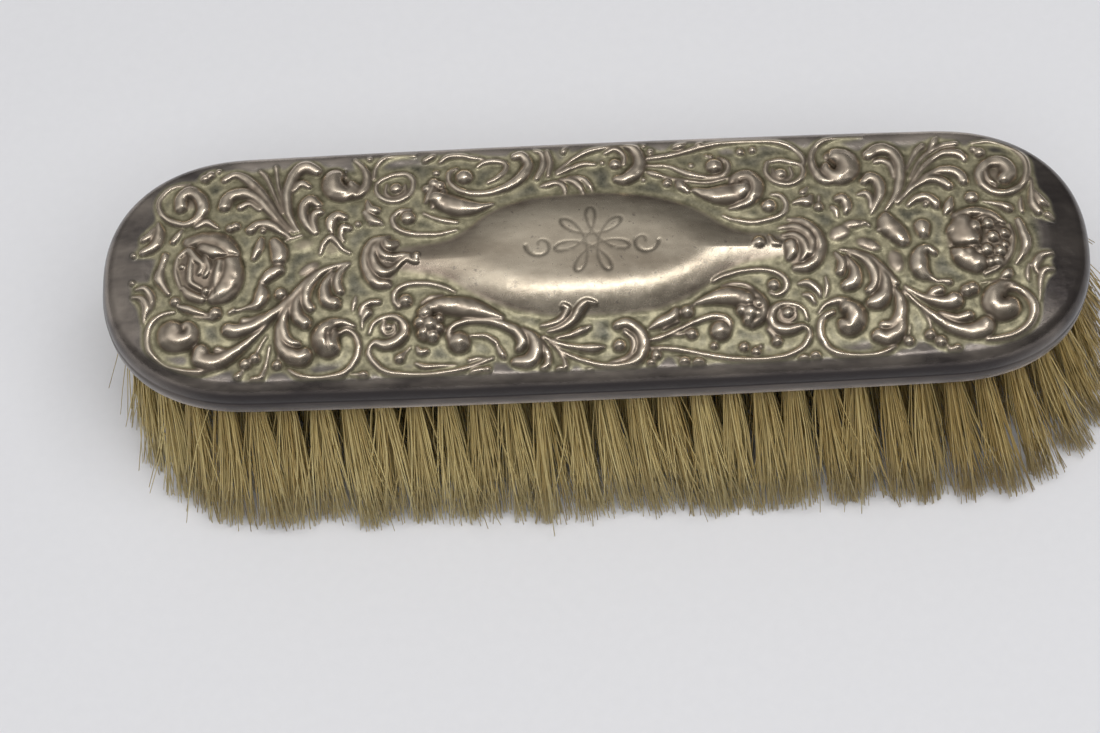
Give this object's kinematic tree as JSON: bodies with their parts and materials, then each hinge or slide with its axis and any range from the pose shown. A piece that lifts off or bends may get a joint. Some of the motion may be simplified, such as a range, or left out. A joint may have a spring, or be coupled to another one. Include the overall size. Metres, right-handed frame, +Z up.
{
  "type": "dressing table brush",
  "caption": "Silver-backed clothes and dressing-table brush with embossed scrollwork round a plain cartouche, standing on its natural bristle tufts.",
  "frame": {"origin": "bottom centre of the whole brush, in the plane of the bristle tips it stands on", "axes": "+X along the brush, towards the end its bristles lean to; -Y the long side they lean to; +Z up, through the silver back"},
  "size_m": [0.1778, 0.063, 0.0393],
  "materials": {
    "silver": "satin, tarnished in the hollows of the embossing",
    "pitch": "dull, dark filling compound",
    "veneer": "plain thin board",
    "wood": "oiled, fine grained",
    "brass_wire": "drawn wire",
    "bristle": "natural blond bristle, darker at the roots"
  },
  "bodies": {
    "root": {"silver_back": "silver", "pitch_filling": "pitch", "cover_board": "veneer", "bristle_stock": "wood", "draw_wire": "brass_wire", "tuft_ring": "bristle", "tuft_row_1": "bristle", "tuft_row_2": "bristle", "tuft_row_3": "bristle", "tuft_row_4": "bristle", "tuft_row_5": "bristle", "tuft_row_6": "bristle", "tuft_row_7": "bristle"}
  },
  "joints": []
}
